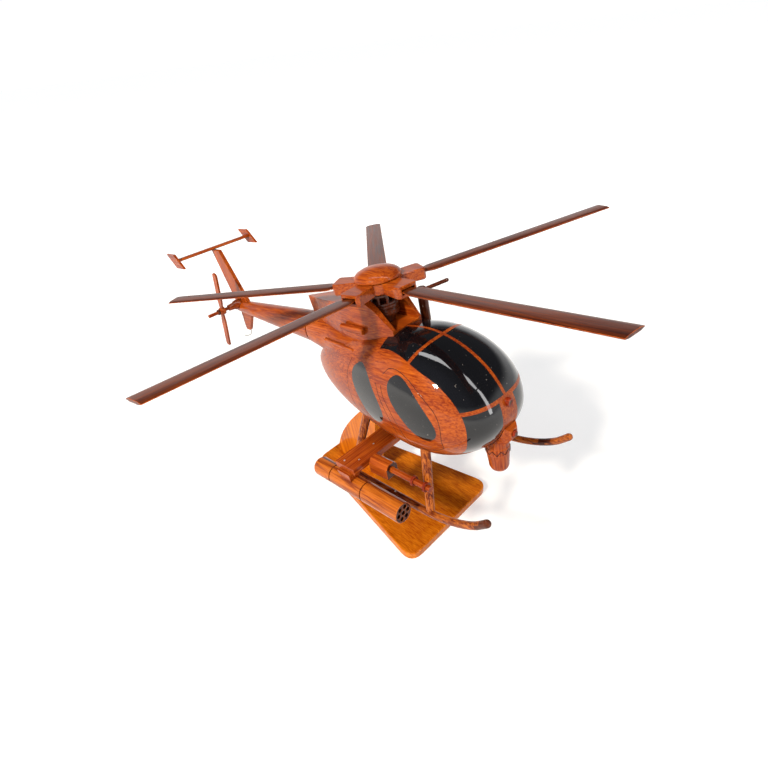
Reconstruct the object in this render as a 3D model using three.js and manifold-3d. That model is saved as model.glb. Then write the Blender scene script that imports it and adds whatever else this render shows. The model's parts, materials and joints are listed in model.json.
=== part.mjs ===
// Desk model of a light scout helicopter in lacquered hardwood, on a display stand.
// Millimetres. World frame: X forward (towards the nose), Y to port, Z up. The origin is on
// the underside of the base board, straight below the main rotor's hub.
// The helicopter is built in its own frame, whose origin is the hub's centre and whose Z is
// the rotor axis; that frame is tipped nose-up on the stand.
import * as THREE from 'three';
import * as BufferGeometryUtils from 'three/addons/utils/BufferGeometryUtils.js';
import Module from 'manifold-3d';

const wasm = await Module();
wasm.setup();

// ---- driving dimensions ----

const fitGap = 0.3;            // between any two pieces that touch
const runGap = 0.35;           // around a shaft that turns

const noseUp = THREE.MathUtils.degToRad(8);
const hubHeight = 228;         // hub's centre above the table

const base = { rear: -95, front: 67, rearHalf: 28, frontHalf: 58, thick: 8,
  rearRadius: 9, frontRadius: 15, edge: 0.8 };
const stand = { thick: 12, rearFoot: -86, frontFoot: -28, topFront: -12, topRear: -22,
  bowTop: 104, bowX: -82, bowZ: 45 };
const screw = { r: 1.6, headR: 3.4, headDepth: 2.0, length: 22, inset: 16 };
const bellyPin = { r: 2.5, x: -40, out: 10, into: 12 };

// The pod's outline powers: 2 is an ellipse, more is fuller, less is more pointed.
const pod = { x: 42, z: -85.5, frontLength: 67, rearLength: 146, halfWidth: 47.5, top: 55.2,
  bottom: 45.5, nose: 1.9, noseWidth: 2.6, rear: 1.55, upper: 2.35, lower: 2.05 };
const shoulder = { rear: pod.x - pod.rearLength + 4, front: 4, rearR: 15.2, midHalf: 23,
  frontHalf: 20, topZ: -39, depth: 34 };
const boom = { rear: -250, rearR: 6.4, rise: 1, tenonR: 5, tenonLength: 12, endCap: 2.6 };
const cowl = { tipX: -101, tipZ: -22, frontX: 1, topZ: -9, half: 20, lipX: 23, lipZ: -30,
  lipHalf: 16, noseTopX: 8, noseTopZ: -14, bellyHalf: 19, bellyX: -35, tipBottomX: -88,
  wall: 4, bayRear: -17, floorZ: -31 };

const mast = { r: 3, foot: -47, head: 2.5, collarR: 4.6, collarTop: -6.2, collarDepth: 1.6 };
const drum = { r: 12, top: -15.5, bottom: -24.5, footR: 7.5, waist: 0.8 };
const cage = { count: 9, r: 1.2, ringR: 10.2, top: -6.6, hoop: 1.5, hoopWide: 3 };

// Each blade's bearing about the mast and how far it rises from its slot, in degrees.
const rotor = { radius: 200, bearings: [63.5, -7.8, -82, -152.1, 137.5],
  rises: [2.85, 2.35, 5.1, 0.28, 0.65] };
const hub = { r: 17, thick: 9, armEnd: 36, armRoot: 12, armTip: 18, slot: 4.2, slotDepth: 9,
  tipChamfer: 2 };
const dome = { r: 18.5, height: 8.5, rim: 1.6 };
const blade = { chord: 16.2, thick: 2.8, neck: 11.5, neckEnd: 43, tipThick: 2.0, bevel: 3.4,
  tongue: 2.4 };

const skid = { r: 3, y: 54.7, z: -156, rear: -27, straightEnd: 70, tipX: 122, tipZ: -135 };
const strut = { rx: 4.3, ry: 3.4, foot: 0.82 };
const frontStrut = { topX: 56, topY: 35, topZ: -104, footX: 69 };
const rearStrut = { topX: -14, topY: 28, topZ: -104, footX: -19 };

const plank = { rear: -9, front: 13.5, reach: 76, top: pod.z - pod.bottom + 6.2, thick: 5 };
const pylon = { top: 15, bottom: 11.5, topWide: 12, bottomWide: 9, drop: 7, x: 2, inset: 7.5 };
const rocket = { r: 8.3, rear: -42, front: 60, tube: 1.9, ring: 4.9, bore: 14, groove: 0.8,
  grooveWide: 1.3, noseRound: 3 };
const gun = { rear: 14, length: 20, half: 6.2, top: plank.top + 1, depth: 13, roofDrop: 3.5, y: 54.5,
  barrelR: 2.6, muzzle: 74, collarR: 3.9, collarWide: 2.6 };

const fin = { rootRear: -252, rootFront: -222, tipRear: -271, tipFront: -255, tipZ: 12.5,
  thick: 4.2 };
const stab = { half: 44, chord: 10, thick: 3.4, x: -269 };
const plate = { rise: 7.5, drop: 7.5, chord: 19, lean: 15, thick: 2.6 };
const ventral = { rootRear: -250, rootFront: -223, tipRear: -252, tipFront: -242, tipZ: -83,
  thick: 3.6 };
const bumper = { r: 0.7, drop: 9, back: 18 };
const tailRotor = { x: -245, z: -48.5, y: -26, radius: 47.5, chord: 7.4, thick: 2.2,
  hubR: 4.4, hubWide: 6, lean: 18.6, shaftR: 1.9, shaftEnd: -43, housingR: 5.2,
  housingEnd: -18, nutR: 3.2, nutWide: 3 };

const noseLens = { r: 3.3, z: -74.8, out: 2.6, into: 5 };
const chin = { x: 98, half: 8, z: -100.5, out: 12.5, high: 15, lensR: 2.7, lensOut: 1.8,
  lensIn: 3.5 };
const sensor = { x: 95, r: 9, lowR: 7.6, bottom: -139, ring: -119 };
const sideDowel = { r: 2.8, rear: -31, front: -4, y: 21.5, z: -32.2 };
const sideRod = { r: 1.6, rear: [-60, 20.8, -50.5], front: [-16, 26.6, -49.5] };
const post = { r: 4, x: 18, y: 26, foot: -45, top: -11 };
const aerial = { r: 1.5, from: [22, 28, -12.5], to: [39, 33, -6] };

// ---- finishes ----

const finish = (color, roughness, metalness = 0) =>
  new THREE.MeshStandardMaterial({ color, roughness, metalness });
const redwood = finish(0x9a4416, 0.25);
const darkwood = finish(0x4a1c10, 0.3);
const goldwood = finish(0xc9772a, 0.25);
const steel = finish(0x8f8d88, 0.35, 0.9);

// ---- helpers ----

const v3 = (x, y, z) => new THREE.Vector3(x, y, z);

function toSolid(geometry) {
  const g = geometry.clone();
  g.deleteAttribute('normal');
  g.deleteAttribute('uv');
  const merged = BufferGeometryUtils.mergeVertices(g, 1e-4);
  const vertProperties = Float32Array.from(merged.attributes.position.array);
  const triVerts = Uint32Array.from(merged.index.array);
  return new wasm.Manifold(new wasm.Mesh({ numProp: 3, vertProperties, triVerts }));
}

function toGeometry(solid) {
  const m = solid.getMesh();
  const g = new THREE.BufferGeometry();
  g.setAttribute('position', new THREE.BufferAttribute(new Float32Array(m.vertProperties), 3));
  g.setIndex(new THREE.BufferAttribute(new Uint32Array(m.triVerts), 1));
  g.computeVertexNormals();
  return g;
}

function piece(name, shape, material, parent) {
  const geometry = shape.isBufferGeometry ? shape : toGeometry(shape);
  const mesh = new THREE.Mesh(geometry, material);
  mesh.name = name;
  parent.add(mesh);
  return mesh;
}

const cut = (solid, ...tools) => tools.reduce((left, tool) => left.subtract(tool), solid);

function box(x0, x1, y0, y1, z0, z1) {
  const g = new THREE.BoxGeometry(x1 - x0, y1 - y0, z1 - z0);
  return toSolid(g.translate((x0 + x1) / 2, (y0 + y1) / 2, (z0 + z1) / 2));
}

// A straight round bar between two points, its radius running from r0 to r1.
function bar(from, to, r0, r1 = r0, sides = 20) {
  const along = to.clone().sub(from);
  const g = new THREE.CylinderGeometry(r1, r0, along.length(), sides);
  g.applyQuaternion(new THREE.Quaternion().setFromUnitVectors(v3(0, 1, 0),
    along.clone().normalize()));
  return toSolid(g.translate(...from.clone().add(to).multiplyScalar(0.5).toArray()));
}

// A turned piece: [radius, height] points up the axis, which is then laid along `axis`.
function turned(profile, sides = 28, axis = v3(0, 0, 1)) {
  const g = new THREE.LatheGeometry(profile.map(([r, h]) => new THREE.Vector2(r, h)), sides);
  g.applyQuaternion(new THREE.Quaternion().setFromUnitVectors(v3(0, 1, 0), axis));
  return toSolid(g);
}

// A flat outline in the X-Z plane given thickness along Y, centred on y = 0.
function slabXZ(outline, thick) {
  const g = new THREE.ExtrudeGeometry(outline, { depth: thick, bevelEnabled: false,
    curveSegments: 12 });
  return toSolid(g.translate(0, 0, -thick / 2).rotateX(Math.PI / 2));
}

// A flat outline in the X-Y plane standing from z0 to z1.
function slabXY(outline, z0, z1, bevel = 0) {
  const g = new THREE.ExtrudeGeometry(outline, { depth: z1 - z0 - 2 * bevel, steps: 1,
    bevelEnabled: bevel > 0, bevelThickness: bevel, bevelSize: bevel, bevelOffset: -bevel,
    bevelSegments: 1, curveSegments: 6 });
  return toSolid(g.translate(0, 0, z0 + bevel));
}

function outlineOf(points) {
  return new THREE.Shape(points.map(([a, b]) => new THREE.Vector2(a, b)));
}

// A skin over a row of closed rings with the same number of points, closed at both ends.
function loft(rings) {
  const n = rings[0].length;
  const position = [];
  const index = [];
  rings.forEach((ring) => ring.forEach((p) => position.push(p.x, p.y, p.z)));
  const middle = (ring) => ring.reduce((s, p) => s.add(p), v3(0, 0, 0)).divideScalar(n);
  const first = middle(rings[0]);
  const last = middle(rings[rings.length - 1]);
  position.push(first.x, first.y, first.z, last.x, last.y, last.z);
  const lowPole = rings.length * n;
  for (let j = 0; j < n; j++) {
    const k = (j + 1) % n;
    index.push(lowPole, j, k);
    for (let i = 0; i + 1 < rings.length; i++) {
      const a = i * n + j;
      const b = i * n + k;
      index.push(a, a + n, b, b, a + n, b + n);
    }
    const top = (rings.length - 1) * n;
    index.push(lowPole + 1, top + k, top + j);
  }
  const g = new THREE.BufferGeometry();
  g.setAttribute('position', new THREE.Float32BufferAttribute(position, 3));
  g.setIndex(index);
  const solid = toSolid(g);
  if (solid.volume() > 0) return solid;
  g.setIndex(index.reverse());
  return toSolid(g);
}

// One superellipse ring in the plane x = at.
function ring(at, zMid, half, up, down, power, lowPower = power, count = 32) {
  return Array.from({ length: count }, (_, i) => {
    const t = (2 * Math.PI * i) / count;
    const c = Math.cos(t);
    const s = Math.sin(t);
    const e = 2 / (s > 0 ? power : lowPower);
    const y = half * Math.sign(c) * Math.abs(c) ** e;
    const z = (s > 0 ? up : down) * Math.sign(s) * Math.abs(s) ** e;
    return v3(at, y, zMid + z);
  });
}

// ---- the pod: an egg with a shoulder that carries the cowling and the boom ----

const swell = (share, power) => (1 - Math.abs(share) ** power) ** (1 / power);

function egg(grow = 0) {
  const steps = 22;
  const rings = [];
  for (let i = 1; i < steps; i++) {
    const t = Math.PI * (1 - i / steps);
    const ahead = Math.cos(t) > 0;
    const plan = ahead ? pod.nose : pod.rear;
    const share = Math.sign(Math.cos(t)) * Math.abs(Math.cos(t)) ** (2 / plan);
    const length = ahead ? pod.frontLength : pod.rearLength;
    const tall = swell(share, plan);
    const wide = swell(share, ahead ? pod.noseWidth : pod.rear);
    rings.push(ring(pod.x + share * (length + grow), pod.z, wide * pod.halfWidth + grow,
      tall * pod.top + grow, tall * pod.bottom + grow, pod.upper, pod.lower));
  }
  return loft(rings);
}

const boomZ = shoulder.topZ - shoulder.rearR;

function shoulderRings(grow = 0) {
  const { rear, front, rearR, midHalf, frontHalf, topZ, depth } = shoulder;
  const at = (x, half, top, down) => {
    const up = Math.min(half, down);
    return ring(x, top - up, half + grow, up + grow, down + grow, 2.1);
  };
  const span = front - rear;
  return [at(rear - grow, rearR, topZ, rearR),
    at(rear + 0.22 * span, rearR + 2.5, topZ, rearR + 2),
    at(rear + 0.55 * span, midHalf, topZ, depth / 2),
    at(rear + 0.8 * span, midHalf, topZ, depth / 2),
    at(front + grow, frontHalf, topZ - 1.5, depth / 2)];
}

const podSkin = (grow) => egg(grow).add(loft(shoulderRings(grow)));

function podSolid() {
  const socket = bar(v3(shoulder.rear - 1, 0, boomZ),
    v3(shoulder.rear + boom.tenonLength + fitGap, 0, boomZ), boom.tenonR + fitGap);
  const mastHole = bar(v3(0, 0, mast.foot - fitGap), v3(0, 0, 0), mast.r + fitGap);
  return cut(podSkin(0), socket, mastHole, eyeHole(), pinHole());
}

function eyeHole() {
  const { r, z, into } = noseLens;
  return bar(v3(noseX(z) - into - fitGap, 0, z), v3(noseX(z) + 10, 0, z), r + fitGap,
    r + fitGap, 24);
}

// Where the pod's surface crosses y = 0 ahead of its widest place, at height z.
function noseX(z) {
  const reach = z > pod.z ? pod.top : pod.bottom;
  return pod.x + pod.frontLength * swell((z - pod.z) / reach, pod.nose);
}

// The height of the pod's underside at x, behind its widest place.
const keelZ = (x) => pod.z - pod.bottom * swell((x - pod.x) / pod.rearLength, pod.rear);

function pinHole() {
  const z = keelZ(bellyPin.x);
  return bar(v3(bellyPin.x, 0, z - 20), v3(bellyPin.x, 0, z + bellyPin.into + fitGap),
    bellyPin.r + fitGap);
}

// ---- tail boom and its surfaces ----

function boomSolid(grow = 0) {
  const { rear, rearR, rise, tenonR, tenonLength, endCap } = boom;
  const front = shoulder.rear - fitGap;
  const steps = 8;
  const rings = [];
  for (let i = 0; i <= steps; i++) {
    const t = i / steps;
    const r = THREE.MathUtils.lerp(rearR, shoulder.rearR, t) + grow;
    const x = THREE.MathUtils.lerp(grow > 0 ? rear - endCap - grow : rear, front + grow, t);
    rings.push(ring(x, THREE.MathUtils.lerp(boomZ + rise, boomZ, t), r, r, r, 2, 2, 24));
  }
  const tenon = bar(v3(front - 1, 0, boomZ), v3(front + tenonLength, 0, boomZ), tenonR);
  const cap = rearR - 1;
  const end = turned([[0, -endCap], [cap * 0.6, -0.8 * endCap], [cap, 0], [cap, 3], [0, 3]], 28,
    v3(1, 0, 0)).translate([rear, 0, boomZ + rise]);
  return grow > 0 ? loft(rings) : loft(rings).add(tenon).add(end);
}

function boomHole() {
  const z = tailRotor.z;
  return bar(v3(tailRotor.x, -12, z), v3(tailRotor.x, 4, z), tailRotor.shaftR + runGap);
}

function finSolid() {
  const { rootRear, rootFront, tipRear, tipFront, tipZ, thick } = fin;
  const side = slabXZ(outlineOf([[rootRear, boomZ], [rootFront, boomZ], [tipFront, tipZ],
    [tipRear, tipZ]]), thick);
  return cut(side, boomSolid(fitGap));
}

function ventralSolid() {
  const { rootRear, rootFront, tipRear, tipFront, tipZ, thick } = ventral;
  const round = 3;
  const side = slabXZ(outlineOf([[rootRear, boomZ], [tipRear, tipZ + round],
    [tipRear + 1, tipZ], [tipFront - 2, tipZ], [tipFront + 0.6, tipZ + round],
    [rootFront, boomZ]]), thick);
  const holes = bumperLegs().map((x) => bar(v3(x, 0, tipZ - 2), v3(x, 0, tipZ + 5),
    bumper.r + fitGap, bumper.r + fitGap, 12));
  return cut(side, boomSolid(fitGap), ...holes);
}

const bumperLegs = () => [ventral.tipFront - 3.2, ventral.tipRear + 3.2];

function bumperSolid() {
  const [front, rear] = bumperLegs();
  const z = ventral.tipZ;
  const low = z - bumper.drop;
  const path = new THREE.CatmullRomCurve3([v3(front, 0, z + 4), v3(front, 0, z - 1),
    v3(front - 3, 0, low + 3), v3(rear - bumper.back / 2, 0, low - 1.5),
    v3(rear - bumper.back, 0, low - 3)], false, 'centripetal');
  return tube(path, bumper.r, 12, 6);
}

function tube(path, r, steps, sides = 12) {
  const round = new THREE.Shape();
  round.absarc(0, 0, r, 0, 2 * Math.PI, false);
  const g = new THREE.ExtrudeGeometry(round, { extrudePath: path, steps,
    curveSegments: sides, bevelEnabled: false });
  return toSolid(g);
}

function stabSolid() {
  const { half, chord, thick, x } = stab;
  const r = thick / 2;
  const section = new THREE.Shape();
  section.absellipse(0, 0, chord / 2, r, 0, 2 * Math.PI, false, 0);
  const g = new THREE.ExtrudeGeometry(section, { depth: 2 * half, bevelEnabled: false,
    curveSegments: 8 });
  return toSolid(g.translate(0, 0, -half).rotateX(Math.PI / 2)
    .translate(x, 0, fin.tipZ + fitGap + r));
}

function plateSolid(side) {
  const { rise, drop, chord, lean, thick } = plate;
  const z = fin.tipZ + fitGap + stab.thick / 2;
  const mid = stab.x;
  const shape = outlineOf([[mid - chord / 2 + lean / 2, z - drop],
    [mid + chord / 2 + lean / 2, z - drop], [mid + chord / 2 - lean / 2, z + rise],
    [mid - chord / 2 - lean / 2, z + rise]]);
  return slabXZ(shape, thick).translate([0, side * (stab.half + fitGap + thick / 2), 0]);
}

// ---- tail rotor ----

function gearHousing() {
  const { x, z, housingR: r, housingEnd, shaftR } = tailRotor;
  const inner = -fin.thick / 2 - fitGap;
  const long = inner - housingEnd;
  const profile = [[0, 0], [r + 0.6, 0], [r, long * 0.45], [r - 1.2, long * 0.55],
    [r - 1.8, long - 0.6], [r - 2.4, long], [0, long]];
  const body = turned(profile, 24, v3(0, -1, 0)).translate([x, inner, z]);
  const bore = bar(v3(x, 5, z), v3(x, housingEnd - 2, z), shaftR + runGap, shaftR + runGap, 24);
  return cut(body, boomSolid(fitGap), bore);
}

function tailShaft() {
  const { x, z, shaftR, shaftEnd } = tailRotor;
  return bar(v3(x, 2, z), v3(x, shaftEnd, z), shaftR, shaftR, 24);
}

function tailHubHole() {
  const { x, z, y, shaftR } = tailRotor;
  return bar(v3(x, y + 8, z), v3(x, y - 8, z), shaftR + fitGap, shaftR + fitGap, 24);
}

function tailHub() {
  const { x, y, z, hubR, hubWide: w } = tailRotor;
  const body = turned([[0, 0], [hubR, 0], [hubR, w * 0.7], [hubR * 0.8, w], [0, w]], 24,
    v3(0, -1, 0)).translate([x, y + w / 2, z]);
  return cut(body, tailHubHole());
}

function tailBlade(side) {
  const { x, y, z, radius, chord, thick, hubR, lean } = tailRotor;
  const start = hubR + fitGap - 0.9;
  const tip = radius - 1.5;
  const shape = outlineOf([[-chord * 0.28, start], [chord * 0.28, start],
    [chord * 0.5, start + 9], [chord * 0.46, tip], [chord * 0.3, radius],
    [-chord * 0.3, radius], [-chord * 0.46, tip], [-chord * 0.5, start + 9]]);
  const g = slabXZ(shape, thick);
  const turn = side > 0 ? -lean : 180 - lean;
  const bladeHere = g.rotate([0, -turn, 0]).translate([x, y, z]);
  const round = bar(v3(x, y + 6, z), v3(x, y - 6, z), hubR + fitGap, hubR + fitGap, 24);
  return cut(bladeHere, round);
}

function tailNut() {
  const { x, y, z, hubWide, nutR, nutWide: w } = tailRotor;
  const body = turned([[0, 0], [nutR, 0], [nutR, w * 0.6], [nutR * 0.6, w], [0, w]], 18,
    v3(0, -1, 0)).translate([x, y - hubWide / 2 - fitGap, z]);
  return cut(body, tailHubHole());
}

// ---- cowling ----

function cowlSolid() {
  const c = cowl;
  const starboard = [[c.tipX, -0.8], [-72, -9.5], [c.bellyX, -c.bellyHalf + 1],
    [-12, -c.half], [c.frontX, -c.half], [c.lipX, -c.lipHalf]];
  const port = starboard.map(([x, y]) => [x, -y]).reverse();
  const planform = slabXY(outlineOf([...starboard, ...port]), -75, 5);
  const side = slabXZ(outlineOf([[c.tipX, c.tipZ], [c.tipBottomX, -60], [c.lipX, -60],
    [c.lipX, c.lipZ], [c.noseTopX, c.noseTopZ], [c.frontX, c.topZ], [-20, c.topZ - 2.2]]), 90);
  const whole = planform.intersect(side);
  const bay = box(c.bayRear, c.lipX + 10, -(c.lipHalf - c.wall + 1), c.lipHalf - c.wall + 1,
    c.floorZ, 10);
  const round = bar(v3(c.bayRear + 2, 0, c.floorZ), v3(c.bayRear + 2, 0, 10),
    c.lipHalf - c.wall + 1, c.lipHalf - c.wall + 1, 32);
  const hole = bar(v3(0, 0, -70), v3(0, 0, 10), mast.r + fitGap, mast.r + fitGap, 24);
  return cut(whole, bay, round, hole, podSkin(fitGap), boomSolid(fitGap));
}

// ---- mast, drum and cage ----

function mastSolid() {
  const { r, foot, head, collarR, collarTop, collarDepth } = mast;
  return turned([[0, foot], [r, foot], [r, collarTop - collarDepth],
    [collarR, collarTop - collarDepth], [collarR, collarTop], [r, collarTop], [r, head],
    [0, head]], 24);
}

function drumSolid() {
  const { r, top, bottom, footR, waist } = drum;
  const floor = cowl.floorZ + fitGap;
  const body = turned([[0, floor], [footR, floor], [footR, bottom], [r - waist, bottom],
    [r, bottom + 1], [r, bottom + 3], [r - waist, bottom + 3.6], [r - waist, top - 3],
    [r, top - 2.4], [r, top - 0.6], [r - 0.6, top], [0, top]], 24);
  const hole = bar(v3(0, 0, floor - 2), v3(0, 0, top + 2), mast.r + fitGap, mast.r + fitGap, 24);
  return cut(body, hole);
}

// A ring of upright dowels between two flat hoops, standing on the drum.
function cageSolid() {
  const { count, r, ringR, top, hoop, hoopWide: w } = cage;
  const foot = drum.top + fitGap;
  const hoopAt = (z) => turned([[ringR - w / 2, z], [ringR + w / 2, z], [ringR + w / 2, z + hoop],
    [ringR - w / 2, z + hoop], [ringR - w / 2, z]], 24);
  let body = hoopAt(foot).add(hoopAt(top - hoop));
  for (let i = 0; i < count; i++) {
    const a = (2 * Math.PI * (i + 0.5)) / count;
    const x = ringR * Math.cos(a);
    const y = ringR * Math.sin(a);
    body = body.add(bar(v3(x, y, foot + 0.2), v3(x, y, top - 0.2), r, r, 8));
  }
  return body;
}

// ---- main rotor ----

function hubArm() {
  const { armEnd, armRoot, armTip, thick, tipChamfer: k } = hub;
  const w = armTip / 2;
  const shape = outlineOf([[0, -armRoot / 2], [armEnd - k, -w], [armEnd, -w + k],
    [armEnd, w - k], [armEnd - k, w], [0, armRoot / 2]]);
  return slabXY(shape, -thick / 2, thick / 2, 0.6);
}

function bladeSlot() {
  const { armEnd, slotDepth, slot } = hub;
  const w = blade.neck / 2 + fitGap;
  return box(armEnd - slotDepth, armEnd + 5, -w, w, -slot / 2, slot / 2);
}

function hubSolid() {
  const { r, thick } = hub;
  let body = turned([[0, -thick / 2], [r - 1, -thick / 2], [r, -thick / 2 + 1],
    [r, thick / 2 - 0.6], [r - 0.6, thick / 2], [0, thick / 2]], 40);
  for (const turn of rotor.bearings) body = body.add(hubArm().rotate([0, 0, turn]));
  for (const turn of rotor.bearings) body = body.subtract(bladeSlot().rotate([0, 0, turn]));
  const bore = bar(v3(0, 0, -thick), v3(0, 0, mast.head + runGap), mast.r + runGap,
    mast.r + runGap, 24);
  return body.subtract(bore);
}

function domeSolid() {
  const { r, height, rim } = dome;
  const z0 = hub.thick / 2 + fitGap;
  const profile = [[0, z0], [r - 0.6, z0], [r, z0 + 0.6], [r, z0 + rim]];
  const steps = 6;
  for (let i = 1; i < steps; i++) {
    const t = (i / steps) * (Math.PI / 2);
    profile.push([r * Math.cos(t), z0 + rim + (height - rim) * Math.sin(t)]);
  }
  profile.push([0, z0 + height]);
  return turned(profile, 32);
}

// A blade lies along +X with a bevelled leading edge; its thinned tongue sits in the hub
// arm's slot, and the whole blade rises from there.
function bladeSolid(rise) {
  const { chord, thick, neck, neckEnd, tipThick, bevel, tongue } = blade;
  const start = hub.armEnd - hub.slotDepth + 2 * fitGap;
  const section = (x, half, t) => {
    const e = Math.min(bevel, half * 0.6);
    return [v3(x, -half, -t * 0.16), v3(x, -half, t * 0.16), v3(x, -half + e, t / 2),
      v3(x, half - e, t / 2), v3(x, half, t * 0.1), v3(x, half, -t * 0.1),
      v3(x, half - e, -t / 2), v3(x, -half + e, -t / 2)];
  };
  const straight = loft([section(start, neck / 2, tongue),
    section(hub.armEnd + 1.5, neck / 2, tongue), section(neckEnd, chord / 2, thick),
    section(rotor.radius, chord / 2, tipThick)]);
  const pivot = hub.armEnd - hub.slotDepth / 2;
  return straight.translate([-pivot, 0, 0]).rotate([0, -rise, 0]).translate([pivot, 0, 0]);
}

// ---- undercarriage ----

function skidPath(side) {
  const { y, z, rear, straightEnd, tipX, tipZ } = skid;
  const rise = tipZ - z;
  return new THREE.CatmullRomCurve3([v3(rear, side * y, z), v3(0, side * y, z),
    v3(straightEnd * 0.6, side * y, z), v3(straightEnd, side * y, z),
    v3(straightEnd + 0.42 * (tipX - straightEnd), side * y, z + 0.2 * rise),
    v3(straightEnd + 0.78 * (tipX - straightEnd), side * y, z + 0.58 * rise),
    v3(tipX, side * y, tipZ)], false, 'centripetal');
}

function skidSolid(side) {
  const path = skidPath(side);
  const tip = path.getPoint(1);
  const nose = new THREE.SphereGeometry(skid.r * 0.985, 12, 8).translate(tip.x, tip.y, tip.z);
  return tube(path, skid.r, 26).add(toSolid(nose));
}

const skidGrown = (side) => tube(skidPath(side), skid.r + fitGap, 26);

function strutSolid(side, leg) {
  const top = v3(leg.topX, side * leg.topY, leg.topZ);
  const foot = v3(leg.footX, side * skid.y, skid.z);
  const along = foot.clone().sub(top);
  const g = new THREE.CylinderGeometry(1, strut.foot, along.length(), 20);
  g.scale(strut.rx, 1, strut.ry);
  const frame = new THREE.Quaternion().setFromUnitVectors(v3(0, -1, 0), along.clone().normalize());
  g.applyQuaternion(frame);
  const middle = top.clone().add(foot).multiplyScalar(0.5);
  return cut(toSolid(g.translate(middle.x, middle.y, middle.z)), podSkin(fitGap),
    skidGrown(side));
}

// ---- stores ----

function plankSolid() {
  const { rear, front, reach, top, thick } = plank;
  const board = box(rear, front, -reach, reach, top - thick, top);
  return cut(board, podSkin(fitGap));
}

const rocketZ = plank.top - plank.thick - 2 * fitGap - pylon.drop - rocket.r;
const rocketY = plank.reach - pylon.inset + 4.5;

function rocketGrown(side) {
  return bar(v3(rocket.rear, side * rocketY, rocketZ), v3(rocket.front, side * rocketY, rocketZ),
    rocket.r + fitGap, rocket.r + fitGap, 24);
}

function pylonSolid(side) {
  const z1 = plank.top - plank.thick - fitGap;
  const ringAt = (z, long, wide) => [v3(pylon.x - long / 2, side * rocketY - wide / 2, z),
    v3(pylon.x + long / 2, side * rocketY - wide / 2, z),
    v3(pylon.x + long / 2, side * rocketY + wide / 2, z),
    v3(pylon.x - long / 2, side * rocketY + wide / 2, z)];
  const block = loft([ringAt(z1 - pylon.drop - 3, pylon.bottom, pylon.bottomWide),
    ringAt(z1, pylon.top, pylon.topWide)]);
  return cut(block, rocketGrown(side));
}

function rocketSolid(side) {
  const { r, rear, front, tube: bore, ring: ringR, bore: depth, groove, grooveWide,
    noseRound } = rocket;
  const long = front - rear;
  const grooves = [0.22, 0.6].flatMap((share) => {
    const x = long * share;
    return [[r, x], [r - groove, x + 0.2], [r - groove, x + grooveWide - 0.2], [r, x + grooveWide]];
  });
  const profile = [[0, 0], [r - noseRound, 0], [r - noseRound * 0.35, noseRound * 0.4],
    [r, noseRound], ...grooves, [r, long - 0.4], [r - 0.4, long], [0, long]];
  const body = turned(profile, 24, v3(1, 0, 0));
  const holes = [[0, 0]];
  for (let i = 0; i < 6; i++) {
    const a = (Math.PI / 3) * i;
    holes.push([ringR * Math.cos(a), ringR * Math.sin(a)]);
  }
  const bores = holes.map(([y, z]) => bar(v3(long - depth, y, z), v3(long + 2, y, z), bore, bore,
    10));
  return cut(body, ...bores).translate([rear, side * rocketY, rocketZ]);
}

const barrelZ = gun.top - gun.depth / 2 + 0.5;

function gunBody(side) {
  const { rear, length, half, top, depth, roofDrop, y } = gun;
  const ringAt = (x, s) => [v3(x, side * y - half * s, top - depth * s),
    v3(x, side * y + half * s, top - depth * s), v3(x, side * y + half * s, top - roofDrop),
    v3(x, side * y + half * 0.45 * s, top), v3(x, side * y - half * 0.45 * s, top),
    v3(x, side * y - half * s, top - roofDrop)];
  const block = loft([ringAt(rear, 1), ringAt(rear + length, 0.96)]);
  const socket = bar(v3(rear + length - 5, side * y, barrelZ), v3(rear + length + 2, side * y,
    barrelZ), gun.barrelR + fitGap, gun.barrelR + fitGap, 20);
  const board = box(plank.rear - fitGap, plank.front + fitGap, -200, 200,
    plank.top - plank.thick - fitGap, plank.top + fitGap);
  return cut(block, socket, board);
}

function barrels(side) {
  const { rear, length, y, barrelR, muzzle } = gun;
  const start = rear + length - 5 + fitGap;
  const small = barrelR * 0.46;
  let bundle = bar(v3(start, 0, 0), v3(muzzle - 1.5, 0, 0), barrelR * 0.62, barrelR * 0.62, 12);
  for (let i = 0; i < 6; i++) {
    const a = (Math.PI / 3) * i;
    const r = barrelR - small;
    const one = bar(v3(start, r * Math.cos(a), r * Math.sin(a)),
      v3(muzzle, r * Math.cos(a), r * Math.sin(a)), small, small, 10);
    bundle = bundle.add(one);
  }
  return bundle.translate([0, side * y, barrelZ]);
}

function collar(side, x, r = gun.collarR) {
  const w = gun.collarWide;
  const bored = turned([[gun.barrelR + fitGap, 0], [r - 0.4, 0], [r, 0.4], [r, w - 0.4],
    [r - 0.4, w], [gun.barrelR + fitGap, w], [gun.barrelR + fitGap, 0]], 18, v3(1, 0, 0));
  return bored.translate([x, side * gun.y, barrelZ]);
}

// ---- small pieces ----

function noseLensSolid() {
  const { r, z, out, into } = noseLens;
  const face = noseX(z);
  return turned([[0, face - into], [r, face - into], [r, face + out - 0.6],
    [r - 0.6, face + out], [r * 0.5, face + out - 0.35], [0, face + out - 0.5]], 24,
  v3(1, 0, 0)).translate([0, 0, z]);
}

function chinSolid() {
  const { x, half, z, out, high } = chin;
  const face = x + out;
  const ringAt = (at, s) => [v3(at, -half * s, z - (high / 2) * s), v3(at, half * s,
    z - (high / 2) * s), v3(at, half * s, z + (high / 2) * s), v3(at, -half * s,
    z + (high / 2) * s)];
  const block = loft([ringAt(x - 8, 1), ringAt(face - 4, 1), ringAt(face, 0.5)]);
  const hole = bar(v3(face - chin.lensIn - fitGap, 0, z), v3(face + 4, 0, z), chin.lensR + fitGap,
    chin.lensR + fitGap, 20);
  const below = bar(v3(sensor.x, 0, -200), v3(sensor.x, 0, 0), sensor.r + 0.6, sensor.r + 0.6, 28);
  return cut(block, hole, podSkin(fitGap), below);
}

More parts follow.
